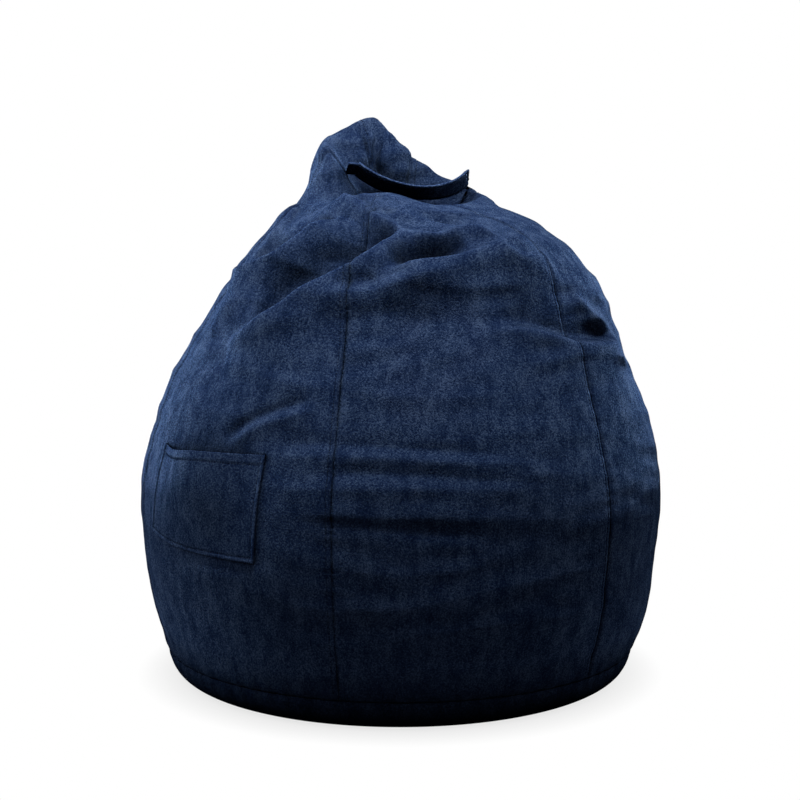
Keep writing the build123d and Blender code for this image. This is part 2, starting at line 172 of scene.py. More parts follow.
FOOT_FADE = 0.03
GATHER = 0.0006
GATHER_RISE = 0.020
GATHER_COUNT = 74

# The cloth lies flatter under the pocket
POCKET_MIDDLE = -91.5
POCKET_FLAT_HALF = 20
POCKET_FLAT_MIDDLE = 0.300
POCKET_FLAT_RISE = 0.100
POCKET_CALM = 0.85

# Heights and radii of the inner bag; valleys in the cover stop short of it
INNER_BAG = [
    (0.040, 0.340),
    (0.130, 0.374),
    (0.272, 0.386),
    (0.400, 0.362),
    (0.545, 0.294),
    (0.638, 0.214),
    (0.668, 0.150),
]
INNER_SLOPE = 0.6
INNER_GAP = 0.004
INNER_ROOM = 0.034
INNER_LEAST = 0.002

# The nap's colours and the tints of its sheen, from where it lies dark to where it lies light
NAVY_DARK = (0.0012, 0.0028, 0.0095)
NAVY = (0.0036, 0.0070, 0.0178)
NAVY_LIGHT = (0.0115, 0.0185, 0.0360)
FUZZ_DARK = (0.03, 0.06, 0.16)
FUZZ = (0.11, 0.22, 0.50)
FUZZ_LIGHT = (0.36, 0.56, 1.0)
NAP_STOPS = (0.40, 0.5, 0.60)
NAP_SPECK = 0.6
# Painted shade: ambient occlusion within this reach darkens the cloth's colour and sheen tint in hollows,
# raised to this power
PAINTED_SHADE_REACH = 0.10
PAINTED_SHADE_STRENGTH = 2.5

# Rings of the slack upper bag: height and radius at the lip and at the hood, the sideways shift, the
# oval, how far the front left of the lip stands higher, and how far the hood sags on its left
RINGS = [
    dict(lip=(0.330, 0.398), hood=(0.330, 0.398), shift=0.001, oval=0, rise=0),
    dict(lip=(0.400, 0.380), hood=(0.400, 0.380), shift=0.003, oval=0, rise=0),
    dict(lip=(0.475, 0.352), hood=(0.475, 0.352), shift=0.004, oval=0, rise=0),
    dict(lip=(0.545, 0.316), hood=(0.545, 0.316), shift=0.010, oval=0, rise=0),
    dict(lip=(0.605, 0.283), hood=(0.605, 0.283), shift=0.022, oval=0, rise=0),
    dict(lip=(0.652, 0.248), hood=(0.656, 0.246), shift=0.018, oval=0, rise=0),
    dict(lip=(0.688, 0.200), hood=(0.706, 0.194), shift=0.014, oval=0.002, rise=0.004),
    dict(lip=(0.710, 0.148), hood=(0.750, 0.150), shift=0.002, oval=0.004, rise=0.012),
    dict(lip=(0.715, 0.124), hood=(0.815, 0.120), shift=0.002, oval=0.014, rise=0.018, sag=0.010),
    dict(lip=(0.716, 0.102), hood=(0.866, 0.096), shift=0.004, oval=0.020, rise=0.020, sag=0.022),
    dict(lip=(0.706, 0.074), hood=(0.790, 0.070), shift=0.008, oval=0.016, rise=0.008, sag=0.010),
    dict(lip=(0.701, 0.056), hood=(0.722, 0.056), shift=0.003, oval=0.004, rise=0.001),
]

# Folds as lines of (azimuth, height) from left to right, with the width of their upper and lower flanks
# and how far they stand out; a valley is negative
FOLDS = [
    dict(line=[(-95, 0.555), (-84, 0.585), (-78, 0.606), (-71, 0.640),
               (-62, 0.672), (-51, 0.722), (-44, 0.783)],
         above=0.013, below=0.055, size=0.031),
    dict(line=[(-88, 0.600), (-80, 0.636), (-74, 0.664), (-65, 0.702), (-56, 0.736), (-48, 0.766)],
         above=0.036, below=0.012, size=-0.038),
    dict(line=[(-118, 0.632), (-107, 0.670), (-98, 0.698), (-88, 0.714),
               (-84, 0.736), (-78, 0.774), (-73, 0.812)],
         above=0.013, below=0.045, size=0.029),
    dict(line=[(-110, 0.712), (-100, 0.738), (-92, 0.752), (-84, 0.780), (-78, 0.812)],
         above=0.030, below=0.010, size=-0.030),
    dict(line=[(-88, 0.880), (-78, 0.862), (-69, 0.839), (-59, 0.807), (-52, 0.786), (-46, 0.765)],
         above=0.013, below=0.024, size=0.017),
    dict(line=[(-82, 0.905), (-72, 0.893), (-62, 0.890), (-50, 0.885), (-42, 0.862), (-36, 0.825)],
         above=0.018, below=0.016, size=0.007),
    dict(line=[(-76, 0.880), (-66, 0.868), (-56, 0.845), (-50, 0.820)],
         above=0.012, below=0.012, size=-0.008),
    dict(line=[(-30, 0.800), (-22, 0.860), (-16, 0.920), (-10, 0.975)],
         above=0.034, below=0.034, size=-0.026),
    dict(line=[(-154, 0.706), (-137, 0.730), (-128, 0.746), (-120, 0.765), (-112, 0.785)],
         above=0.009, below=0.026, size=0.009),
    dict(line=[(-158, 0.748), (-137, 0.770), (-124, 0.790), (-112, 0.820)],
         above=0.030, below=0.010, size=-0.011),
    dict(line=[(-106, 0.560), (-105, 0.595), (-97, 0.640)], above=0.016, below=0.022, size=0.008),
    dict(line=[(-54, 0.652), (-46, 0.670), (-41, 0.680), (-33, 0.688),
               (-23, 0.706), (-10, 0.734), (0, 0.752)],
         above=0.011, below=0.045, size=0.022),
    dict(line=[(-50, 0.690), (-44, 0.698), (-36, 0.714), (-26, 0.732)],
         above=0.024, below=0.010, size=-0.024),
    dict(line=[(-44, 0.742), (-36, 0.746), (-25, 0.765), (-20, 0.762), (-14, 0.735)],
         above=0.012, below=0.016, size=0.012),
    dict(line=[(-70, 0.618), (-61, 0.630), (-54, 0.634), (-46, 0.644), (-38, 0.660), (-28, 0.680)],
         above=0.014, below=0.034, size=0.010),
    dict(line=[(-64, 0.650), (-54, 0.656), (-44, 0.668)], above=0.016, below=0.010, size=-0.008),
    dict(line=[(-20, 0.716), (-14, 0.698), (-8, 0.695), (5, 0.716)],
         above=0.008, below=0.022, size=0.007),
    dict(line=[(-26, 0.580), (-13, 0.577), (-5, 0.560), (10, 0.544), (28, 0.546)],
         above=0.012, below=0.040, size=0.014),
    dict(line=[(-22, 0.600), (-10, 0.594), (0, 0.578), (14, 0.562), (26, 0.562)],
         above=0.022, below=0.010, size=-0.011),
    dict(line=[(5, 0.640), (12, 0.600), (24, 0.556)], above=0.014, below=0.018, size=0.007),
    dict(line=[(-72, 0.398), (-60, 0.402), (-44, 0.394), (-24, 0.384)],
         above=0.014, below=0.008, size=-0.004),
    dict(line=[(-74, 0.378), (-60, 0.382), (-46, 0.378), (-14, 0.366)],
         above=0.009, below=0.015, size=0.004),
    dict(line=[(-66, 0.356), (-54, 0.357), (-40, 0.352), (-22, 0.346)],
         above=0.012, below=0.008, size=-0.003),
    dict(line=[(-76, 0.330), (-58, 0.334), (-40, 0.334), (-14, 0.330)],
         above=0.010, below=0.017, size=0.003),
    dict(line=[(-68, 0.296), (-50, 0.294), (-22, 0.288)], above=0.012, below=0.016, size=0.0022),
    dict(line=[(-72, 0.286), (-53, 0.277), (-28, 0.262)], above=0.014, below=0.013, size=-0.0018),
    dict(line=[(-86, 0.398), (-79, 0.436), (-66, 0.468)], above=0.010, below=0.008, size=-0.006),
    dict(line=[(-84, 0.392), (-77, 0.424), (-64, 0.454)], above=0.008, below=0.014, size=0.005),
    dict(line=[(146, 0.835), (157, 0.858), (168, 0.895), (176, 0.921), (184, 0.950)],
         above=0.012, below=0.006, size=-0.016),
    dict(line=[(144, 0.850), (156, 0.874), (165, 0.906), (172, 0.932)],
         above=0.012, below=0.010, size=0.008),
]

# Steps between a fold's points, its reach in flank widths and the radius that turns the reach into an
# angle, and how its ends and its flanks run out
FOLD_STEPS = 5
FOLD_REACH = 3
FOLD_NARROW_R = 0.15
FOLD_TAPER = 4
FOLD_ROUND = 1.5

# The right and the back get folds of the same kind at random places: larger ones below the hood, and low
# wrinkles
BACK_FOLDS = 16
BACK_WRINKLES = 16

scatter = np.random.default_rng(7)
for _ in range(BACK_FOLDS):
    start = scatter.uniform(62, 172)
    drift = scatter.uniform(10, 32)
    top = scatter.uniform(0.64, 0.80)
    drop = scatter.uniform(-0.12, 0.12)
    line = [(start, top), (start + drift * 0.5, top - drop * 0.4), (start + drift, top - drop)]
    size = scatter.uniform(0.008, 0.015)
    above = scatter.uniform(0.010, 0.018)
    below = scatter.uniform(0.03, 0.05)
    FOLDS.append(dict(line=line, above=above, below=below, size=size))
for _ in range(BACK_WRINKLES):
    start = scatter.uniform(40, 225)
    level = scatter.uniform(0.20, 0.50)
    line = [(start, level), (start + scatter.uniform(12, 28), level + scatter.uniform(-0.015, 0.015))]
    FOLDS.append(dict(line=line, above=0.008, below=0.013, size=scatter.uniform(0.002, 0.0045)))


def turned(angle):
    """An angle brought between -180 and 180."""
    return (np.asarray(angle, float) + 180) % 360 - 180


def wall_radius(z):
    """The bag's radius below its widest place, where the wall is an arc."""
    return EQUATOR_R - WALL_R + np.sqrt(WALL_R**2 - (EQUATOR_Z - z) ** 2)


def rings_at(azimuth, foot):
    """Radii and heights of the control rings at some azimuths, from the base seam to the patch."""
    away = turned(azimuth - HOOD_AZIMUTH)
    slow = (1 + np.cos(np.radians(away))) / 2
    steep = np.exp((HOOD_PEAK - np.hypot(away, HOOD_PEAK)) / HOOD_FALL) * slow**HOOD_FOOT
    step = np.clip((away - HOOD_STEP_START) / HOOD_STEP_TURN, 0, 1)
    stepped = slow * (1 - HOOD_STEP * step**2 * (3 - 2 * step))
    share = np.where(away >= 0, stepped, steep)
    rise = np.exp(-((turned(azimuth - LIP_AZIMUTH) / LIP_SPREAD) ** 2))
    sag = np.exp(-((turned(azimuth - SAG_AZIMUTH) / SAG_SPREAD) ** 2))
    side = np.radians(azimuth - SIDE_AZIMUTH)
    points = []
    for z in np.linspace(foot, EQUATOR_Z, WALL_RINGS):
        points.append((np.full_like(azimuth, wall_radius(z)), np.full_like(azimuth, z)))
    for ring in RINGS:
        z = ring["lip"][0] + share * (ring["hood"][0] - ring["lip"][0]) + rise * ring["rise"]
        z = z - sag * ring.get("sag", 0)
        r = ring["lip"][1] + share * (ring["hood"][1] - ring["lip"][1])
        r = r + ring["shift"] * np.cos(side) + ring["oval"] * np.cos(2 * side)
        points.append((r, z))
    across = np.radians(azimuth % GORE_ANGLE - GORE_ANGLE / 2)
    edge = PATCH_R * math.cos(math.radians(GORE_ANGLE / 2)) / np.cos(across)
    points.append((edge, np.full_like(azimuth, PATCH_Z)))
    return np.array(points)


def through(points, steps):
    """A smooth line through some points, with a number of steps from each point to the next."""
    points = np.asarray(points, float)
    ends = np.concatenate([2 * points[:1] - points[1:2], points, 2 * points[-1:] - points[-2:-1]])
    fine = []
    for k in range(len(points) - 1):
        before, start, end, after = ends[k : k + 4]
        for t in np.linspace(0, 1, steps, endpoint=False):
            bend = 2 * before - 5 * start + 4 * end - after
            twist = 3 * start - before - 3 * end + after
            fine.append((2 * start + (end - before) * t + bend * t**2 + twist * t**3) / 2)
    fine.append(points[-1])
    return np.array(fine)


def smooth_form(azimuth, heights, foot):
    """The undented bag: points for each azimuth at its heights, and the length of cloth up each column."""
    fine = through(rings_at(azimuth, foot), RING_STEPS)
    steps = np.sqrt(((fine[1:] - fine[:-1]) ** 2).sum(1))
    along = np.concatenate([np.zeros((1, len(azimuth))), np.cumsum(steps, 0)])
    points = np.empty((*heights.shape, 3))
    for column, angle in enumerate(np.radians(azimuth)):
        want = heights[:, column] * along[-1, column]
        r = np.interp(want, along[:, column], fine[:, 0, column])
        points[:, column, 0] = r * math.sin(angle)
        points[:, column, 1] = -r * math.cos(angle)
        points[:, column, 2] = np.interp(want, along[:, column], fine[:, 1, column])
    return points, along[-1]


def waves(points, span, seed, count=24):
    """Smooth random relief, about -1 to 1, worked out in space so that gores agree at their seam."""
    rng = np.random.default_rng(seed)
    total = np.zeros(points.shape[:-1])
    for _ in range(count):
        heading = rng.uniform(0, 2 * math.pi)
        flat = 2 * math.pi / span[0] * rng.uniform(0.3, 1.0)
        up = 2 * math.pi / span[1] * rng.uniform(0.5, 1.1)
        wave = np.array([flat * math.cos(heading), flat * math.sin(heading), up])
        total += np.sin(points @ wave + rng.uniform(0, 2 * math.pi))
    return total / math.sqrt(count)


def fold_relief(fold, azimuth, height, radius, length):
    """How far one fold lifts the cloth over a grid of azimuths and heights."""
    line = through(fold["line"], FOLD_STEPS)
    reach = FOLD_REACH * max(fold["above"], fold["below"])
    nearest = np.full(azimuth.shape, 1e9)
    lift = np.zeros(azimuth.shape)
    middle = line[:, 0].mean()
    half = (line[:, 0].max() - line[:, 0].min()) / 2 + math.degrees(reach / FOLD_NARROW_R)
    if np.abs(turned(azimuth - middle)).min() > half:
        return lift
    for k in range(len(line) - 1):
        x = radius * np.radians(turned(azimuth - line[k, 0]))
        y = length * (height - line[k, 1])
        run = radius * np.radians(line[k + 1, 0] - line[k, 0])
        climb = length * (line[k + 1, 1] - line[k, 1])
        t = np.clip((x * run + y * climb) / (run**2 + climb**2), 0, 1)
        off_x = x - t * run
        off_y = y - t * climb
        distance = np.hypot(off_x, off_y)
        closer = distance < nearest
        nearest = np.where(closer, distance, nearest)
        width = np.where(run * off_y - climb * off_x > 0, fold["above"], fold["below"])
        along = (k + t) / (len(line) - 1)
        taper = np.sin(math.pi / 2 * np.clip(FOLD_TAPER * np.minimum(along, 1 - along), 0, 1))
        flank = np.exp(-((distance / width) ** FOLD_ROUND))
        lift = np.where(closer, fold["size"] * taper * flank, lift)
    return lift


def gathers(azimuth):
    """The base seam draws the cloth up in small uneven gathers."""
    return np.sin(np.radians(azimuth) * GATHER_COUNT + 2 * np.sin(np.radians(azimuth) * 9))


def bell(distance, width):
    return np.exp(-((distance / width) ** 2))


def relief(azimuth, height, points, length):
    """How far the cloth stands out of the smooth form."""
    radius = np.hypot(points[..., 0], points[..., 1])
    from_seam = radius * np.radians((azimuth + GORE_ANGLE / 2) % GORE_ANGLE - GORE_ANGLE / 2)
    gore_half = radius * math.radians(GORE_ANGLE / 2)
    up = height * length
    out = GORE_CROWN * (1 - (1 - np.abs(from_seam) / gore_half) ** 2) - GORE_CROWN / 2
    for fold in FOLDS:
        out += fold_relief(fold, azimuth, height, radius, length)
    slack = np.clip((height - SLACK_START) / SLACK_SPAN, 0, 1)
    out += (ROLL_TAUT + ROLL_SLACK * slack) * waves(points, ROLL_SPAN, seed=11)
    creases = 0.5 - np.abs(waves(points, CREASE_SPAN, seed=12))
    out += (CREASE_TAUT + CREASE_SLACK * slack) * creases
    out += (RIPPLE_TAUT + RIPPLE_SLACK * slack) * waves(points, RIPPLE_SPAN, seed=13)
    pocket = np.exp(-((turned(azimuth - POCKET_MIDDLE) / POCKET_FLAT_HALF) ** 8))
    pocket *= np.exp(-(((height - POCKET_FLAT_MIDDLE) / POCKET_FLAT_RISE) ** 8))
    out *= 1 - POCKET_CALM * pocket
    wander = PUCKER_WANDER * waves(points, PUCKER_SPAN, seed=15)
    pucker = np.sin(2 * math.pi * up / PUCKER_PITCH + wander)
    out += PUCKER * pucker * bell(from_seam, PUCKER_WIDTH)
    out -= SEAM_GROOVE * bell(from_seam, SEAM_WIDTH)
    out -= STITCH_DIP * bell(from_seam + STITCH_OFFSET, STITCH_DIP_WIDTH)
    out *= np.clip((1 - height) / TOP_FADE, 0, 1)
    out *= np.clip(up / FOOT_FADE, 0, 1)
    inner = np.interp(points[..., 2], [z for z, r in INNER_BAG], [r for z, r in INNER_BAG])
    room = np.clip(INNER_SLOPE * (radius - inner) - INNER_GAP, INNER_LEAST, INNER_ROOM)
    out = np.where(out < 0, room * np.tanh(out / room), out)
    return out + GATHER * gathers(azimuth) * bell(up, GATHER_RISE) - SEAM_TUCK * bell(up, TUCK_RISE)


def cloth(azimuth, heights, foot=SEAM_Z):
    """The dented bag and its outward normals; heights hold one column for each azimuth."""
    smooth, length = smooth_form(azimuth, heights, foot)
    above, _ = smooth_form(azimuth, heights + NORMAL_RISE, foot)
    below, _ = smooth_form(azimuth, heights - NORMAL_RISE, foot)
    beside, _ = smooth_form(azimuth + NORMAL_TURN, heights, foot)
    before, _ = smooth_form(azimuth - NORMAL_TURN, heights, foot)
    normal = np.cross(beside - before, above - below)
    normal /= np.linalg.norm(normal, axis=-1, keepdims=True)
    grid = np.broadcast_to(azimuth, heights.shape)
    out = relief(grid, heights, smooth, np.broadcast_to(length, heights.shape))
    return smooth + normal * out[..., None], normal


def grid_faces(rows, columns, closed=False):
    """Four-sided faces over a grid of points; a closed grid joins its last column to its first."""
    corner = np.arange(rows * columns).reshape(rows, columns)
    if closed:
        corner = np.concatenate([corner, corner[:, :1]], 1)
    quads = np.stack([corner[:-1, :-1], corner[:-1, 1:], corner[1:, 1:], corner[1:, :-1]], -1)
    return quads.reshape(-1, 4).tolist()


def add_mesh(name, points, faces, material):
    mesh = bpy.data.meshes.new(name)
    mesh.from_pydata(np.asarray(points).reshape(-1, 3).tolist(), [], faces)
    mesh.materials.append(material)
    mesh.shade_smooth()
    obj = bpy.data.objects.new(name, mesh)
    bpy.context.collection.objects.link(obj)
    return obj


def ramp(tree, factor, stops):
    """A colour that goes through some stops of (factor, colour)."""
    made = node(tree, "ShaderNodeValToRGB", {"Fac": factor})
    elements = made.color_ramp.elements
    for element, (position, color) in zip(elements, (stops[0], stops[-1])):
        element.position = position
        element.color = (*color, 1)
    for position, color in stops[1:-1]:
        elements.new(position).color = (*color, 1)
    return made.outputs["Color"]


def nap_cloth(name, painted_lightening=1.0, painted_hollow_shade=PAINTED_SHADE_STRENGTH):
    """Brushed cloth: clouds where the nap lies different ways, specks of fibre and sheen, with painted shade
    in hollows and a factor of painted light.
    """
    material = bpy.data.materials.new(name)
    material.use_nodes = True
    tree = material.node_tree
    shader = tree.nodes["Principled BSDF"]
    place = node(tree, "ShaderNodeTexCoord").outputs["Object"]
    streaks = node(tree, "ShaderNodeMapping", {"Vector": place, "Scale": (1.0, 1.0, 0.45)}).outputs["Vector"]
    cloud_grain = {"Vector": streaks, "Scale": 45.0, "Detail": 6.0, "Roughness": 0.75}
    cloud = node(tree, "ShaderNodeTexNoise", cloud_grain).outputs["Fac"]
    speck_grain = {"Vector": place, "Scale": 420.0, "Detail": 2.0, "Roughness": 0.8}
    speck = node(tree, "ShaderNodeTexNoise", speck_grain).outputs["Fac"]
    lie = node(tree, "ShaderNodeMix", {0: NAP_SPECK, 2: cloud, 3: speck}).outputs[0]
    # The nap's colours are lightened by a factor as painted light; the cover and thread keep a factor of 1
    shades = [tuple(painted_lightening * c for c in color) for color in (NAVY_DARK, NAVY, NAVY_LIGHT)]
    color = ramp(tree, lie, list(zip(NAP_STOPS, shades)))
    # Painted shade: the colour and the sheen tint are darkened where the cloth lies in a hollow
    painted_shade_ao = node(tree, "ShaderNodeAmbientOcclusion", {"Distance": PAINTED_SHADE_REACH}, samples=6).outputs["AO"]
    painted_shade_factor = node(tree, "ShaderNodeMath", {0: painted_shade_ao, 1: painted_hollow_shade}, operation="POWER").outputs["Value"]
    scaled = {0: color, "Scale": painted_shade_factor}
    color = node(tree, "ShaderNodeVectorMath", scaled, operation="SCALE").outputs["Vector"]
    tree.links.new(color, shader.inputs["Base Color"])
    shader.inputs["Roughness"].default_value = 0.95
    shader.inputs["Specular IOR Level"].default_value = 0.0
    fuzz = ramp(tree, lie, list(zip(NAP_STOPS, (FUZZ_DARK, FUZZ, FUZZ_LIGHT))))
    fuzz = node(tree, "ShaderNodeVectorMath", {0: fuzz, "Scale": painted_shade_factor}, operation="SCALE").outputs["Vector"]
    tree.links.new(fuzz, shader.inputs["Sheen Tint"])
    shader.inputs["Sheen Weight"].default_value = 0.16
    shader.inputs["Sheen Roughness"].default_value = 0.40
    bump = node(tree, "ShaderNodeBump", {"Height": lie, "Strength": 0.8, "Distance": 0.0025})
    tree.links.new(bump.outputs["Normal"], shader.inputs["Normal"])
    return material


def sewn(obj, *nodes, body="cover", slot="cover_cloth"):
    """A soft piece that stands for its solids and moves with a body; the slot is not used."""
    if nodes:
        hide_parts(*nodes)
    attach(obj, body)
    return obj


cover_cloth = nap_cloth("cover_cloth")
levels = np.repeat(np.linspace(0, 1, GORE_ROWS)[:, None], GORE_COLUMNS, 1)
spread = np.sin(np.linspace(-EDGE_CROWD, EDGE_CROWD, GORE_COLUMNS)) / math.sin(EDGE_CROWD)
for k, name in enumerate(GORE_NAMES):
    zipped = ZIP_START <= k * GORE_ANGLE < ZIP_END
    foot = SEAM_Z + ZIP_SLOT / 2 if zipped else SEAM_Z
    points, normals = cloth(GORE_ANGLE * (k + 0.5 + spread / 2), levels, foot)
    hems = points[:, [0, -1]] - normals[:, [0, -1]] * SEAM_HEM
    points = np.concatenate([hems[:, :1], points, hems[:, 1:]], 1)
    normals = np.concatenate([normals[:, :1], normals, normals[:, -1:]], 1)
    turn_in = points[:1] - normals[:1] * (ZIP_TURN if zipped else SEAM_TURN)
    points = np.concatenate([turn_in, points])
    gore = add_mesh(name + "_cloth", points, grid_faces(GORE_ROWS + 1, GORE_COLUMNS + 2), cover_cloth)
    sewn(gore, name)

# Top patch. A six-sided scrap of the cover cloth closes the hole where the gores' points would crowd
# together; it is sewn to them at the bottom of the dip.
PATCH_SAG = 0.005
PATCH_RIPPLE = 0.0012
PATCH_RINGS = 10
PATCH_SIDE_STEPS = 8
PATCH_STEPS = GORES * PATCH_SIDE_STEPS

patch_points = []
for ring in range(1, PATCH_RINGS + 1):
    share = ring / PATCH_RINGS
    for step in range(PATCH_STEPS):
        azimuth = GORE_ANGLE * step / PATCH_SIDE_STEPS
        across = math.radians(azimuth % GORE_ANGLE - GORE_ANGLE / 2)
        r = share * PATCH_R * math.cos(math.radians(GORE_ANGLE / 2)) / math.cos(across)
        angle = math.radians(azimuth)
        ripple = PATCH_RIPPLE * share * math.sin(5 * angle + 4 * share)
        z = PATCH_Z - (PATCH_SAG + ripple) * (1 - share**2)
        patch_points.append((r * math.sin(angle), -r * math.cos(angle), z))
patch_faces = [face[::-1] for face in grid_faces(PATCH_RINGS, PATCH_STEPS, closed=True)]
patch_faces.append(list(range(PATCH_STEPS)))
patch = sewn(add_mesh("top_patch_cloth", patch_points, patch_faces, cover_cloth), "top_patch")

# Base panel. A round of the same cloth lies flat on the floor under the filling, and its rim turns up to
# the seam that joins it to the gores; along the back it is cut lower to make room for the zip.
RIM_R = 0.038
CONTACT_R = 0.3227
RIM_LEAN = 20
SLOT_EASE = 0.8
SEAM_LAP = 0.001
BASE_MIDDLE_R = 0.006
BASE_COLUMNS = 720
BASE_FLAT_ROWS = 12
BASE_RIM_ROWS = 14
BASE_WALL_ROWS = 14

base_azimuth = np.arange(BASE_COLUMNS) * 360 / BASE_COLUMNS
zip_half = (ZIP_END - ZIP_START) / 2
past_zip = np.abs(turned(base_azimuth - ZIP_START - zip_half)) - zip_half
base_top = SEAM_Z - ZIP_SLOT / 2 * np.clip(0.5 - past_zip / SLOT_EASE, 0, 1)
base_rows = []
for r in np.linspace(BASE_MIDDLE_R, CONTACT_R, BASE_FLAT_ROWS, endpoint=False):
    base_rows.append((np.full(BASE_COLUMNS, r), np.zeros(BASE_COLUMNS)))
for lean in np.radians(np.linspace(90, RIM_LEAN, BASE_RIM_ROWS, endpoint=False)):
    r = CONTACT_R + RIM_R * math.cos(lean)
    base_rows.append((np.full(BASE_COLUMNS, r), np.full(BASE_COLUMNS, RIM_R - RIM_R * math.sin(lean))))
join_z = RIM_R - RIM_R * math.sin(math.radians(RIM_LEAN))
for share in np.linspace(0, 1, BASE_WALL_ROWS):
    z = join_z + share * (base_top - join_z)
    base_rows.append((wall_radius(z), z))
base_rows = np.array(base_rows)
below_seam = base_top - base_rows[:, 1]
rim_out = GATHER * gathers(base_azimuth) * bell(below_seam, GATHER_RISE)
rim_out -= SEAM_TUCK * bell(below_seam, TUCK_RISE)
base_r = base_rows[:, 0] + rim_out
base_z = base_rows[:, 1]
base_r = np.concatenate([base_r, base_r[-1:] - np.where(past_zip > 0, SEAM_TURN, ZIP_TURN)])
base_z = np.concatenate([base_z, base_z[-1:] + np.where(past_zip > 0, SEAM_LAP, 0)])
base_x = base_r * np.sin(np.radians(base_azimuth))
base_y = -base_r * np.cos(np.radians(base_azimuth))
base_points = np.stack([base_x, base_y, base_z], -1)
base_faces = grid_faces(len(base_r), BASE_COLUMNS, closed=True)
base_faces.append(list(range(BASE_COLUMNS))[::-1])
base = sewn(add_mesh("base_panel_cloth", base_points, base_faces, cover_cloth), "base_panel")

# Topstitching. Beside each seam a row of navy thread holds the seam's turned-in edges down; each stitch
# bows a little out of the nap between its two needle holes.
THREAD_R = 0.00042
STITCH_PITCH = 0.0042
STITCH_L = 0.0032
STITCH_SINK = 0.0004
STITCH_STEP = 0.0005
THREAD_SIDES = 5
ROW_START = 0.012
ROW_END = 0.965
ROW_STEPS = 900
thread = nap_cloth("thread")


def along_line(points, along, want):
    """Points, or directions, at some distances along a line of them."""
    return np.stack([np.interp(want, along, points[:, axis]) for axis in range(3)], -1)


def repeat_faces(rows, sides, count):
    """The faces of a number of like tubes, one after another."""
    one = np.array(grid_faces(rows, sides, closed=True))
    return (one[None] + (np.arange(count) * rows * sides)[:, None, None]).reshape(-1, 4).tolist()


def stitches(name, points, normals):
    """A row of short stitches along a line of points on the cloth."""
    steps = np.linalg.norm(points[1:] - points[:-1], axis=1)
    along = np.concatenate([[0], np.cumsum(steps)])
    starts = np.arange(0, along[-1] - STITCH_L, STITCH_PITCH)
    rings = []
    for share, lift in ((0, -STITCH_SINK), (0.25, THREAD_R), (0.75, THREAD_R), (1, -STITCH_SINK)):
        want = starts + share * STITCH_L
        place = along_line(points, along, want)
        out = along_line(normals, along, want)
        way = along_line(points, along, want + STITCH_STEP)
        way -= along_line(points, along, want - STITCH_STEP)
        way /= np.linalg.norm(way, axis=1, keepdims=True)
        side = np.cross(way, out)
        for turn in range(THREAD_SIDES):
            angle = 2 * math.pi * turn / THREAD_SIDES
            lifted = place + out * (lift + THREAD_R * math.sin(angle))
            rings.append(lifted + side * THREAD_R * math.cos(angle))
    verts = np.array(rings).transpose(1, 0, 2)
    return sewn(add_mesh(name, verts, repeat_faces(4, THREAD_SIDES, len(starts)), thread))


line_heights = np.linspace(ROW_START, ROW_END, ROW_STEPS)
for k in range(GORES):
    seam = np.full(ROW_STEPS, GORE_ANGLE * k)
    zipped = ZIP_START < k * GORE_ANGLE <= ZIP_END
    foot = SEAM_Z + ZIP_SLOT / 2 if zipped else SEAM_Z
    middle, _ = smooth_form(seam, line_heights[None], foot)
    radius = np.hypot(middle[0, :, 0], middle[0, :, 1])
    points, normals = cloth(seam - np.degrees(STITCH_OFFSET / radius), line_heights[None], foot)
    stitches("seam_stitches_" + str(k + 1), points[0], normals[0])

# Pocket. A rectangle of the cover cloth is sewn to the left gore by its sides and foot, 6 mm in from its
# turned-under edges; its mouth has a stitched hem and stands a little open.
POCKET_CORNERS = dict(
    foot_left=(-110, 0.226),
    foot_right=(-76, 0.216),
    top_left=(-107, 0.372),
    top_right=(-74.5, 0.380),
)
POCKET_W = 0.230
POCKET_H = 0.150
POCKET_T = 0.0017
POCKET_GAPE = 0.022
POCKET_HEM = 0.014
POCKET_INSET = 0.006
POCKET_EDGE = 0.0012
POCKET_TUCK = 0.0006
POCKET_DIP = 0.0009
POCKET_HEM_T = 0.0008
POCKET_HEM_DIP = 0.0006
POCKET_DIP_WIDTH = 0.0012
POCKET_RIPPLE = 0.0012
POCKET_ROUND = 1.6
POCKET_COLUMNS = 150
POCKET_ROWS = 100
POCKET_ROW_STEPS = 200

# The mouth's edge turns in behind its hem: how far up each row lies, and how many thicknesses in
POCKET_TURN = [(0.995, 0.6), (0.97, 1.0), (1 - POCKET_HEM / POCKET_H, 1.0)]

across = np.concatenate([[0], np.linspace(0, 1, POCKET_COLUMNS), [1]])
up_share = np.concatenate([[0], np.linspace(0, 1, POCKET_ROWS), [up for up, _ in POCKET_TURN]])


def pocket_place(u, v):
    """Azimuth and height on the left gore of a point across and up the pocket."""
    corners = {key: np.array(value) for key, value in POCKET_CORNERS.items()}
    foot = corners["foot_left"] + u * (corners["foot_right"] - corners["foot_left"])
    top = corners["top_left"] + u * (corners["top_right"] - corners["top_left"])
    return foot + v * (top - foot)


def pocket_lift(u, v):
    """How far the pocket's face stands off the gore."""
    from_side = np.minimum(u, 1 - u) * POCKET_W
    from_edge = np.minimum(from_side, v * POCKET_H)
    from_mouth = (1 - v) * POCKET_H
    lift = POCKET_T + POCKET_EDGE * np.exp(-((from_edge / POCKET_INSET) ** 4))
    lift -= POCKET_DIP * bell(from_edge - POCKET_INSET, POCKET_DIP_WIDTH)
    lift += POCKET_HEM_T * np.exp(-((from_mouth / POCKET_HEM) ** 6))
    lift -= POCKET_HEM_DIP * bell(from_mouth - POCKET_HEM, POCKET_DIP_WIDTH)
    free_across = np.sin(math.pi * u)
    free_up = np.sin(math.pi / 2 * v)
    gape = POCKET_GAPE * free_up**POCKET_ROUND * free_across**POCKET_ROUND
    return lift + gape + POCKET_RIPPLE * np.sin(9 * u + 4 * v) * free_across * free_up


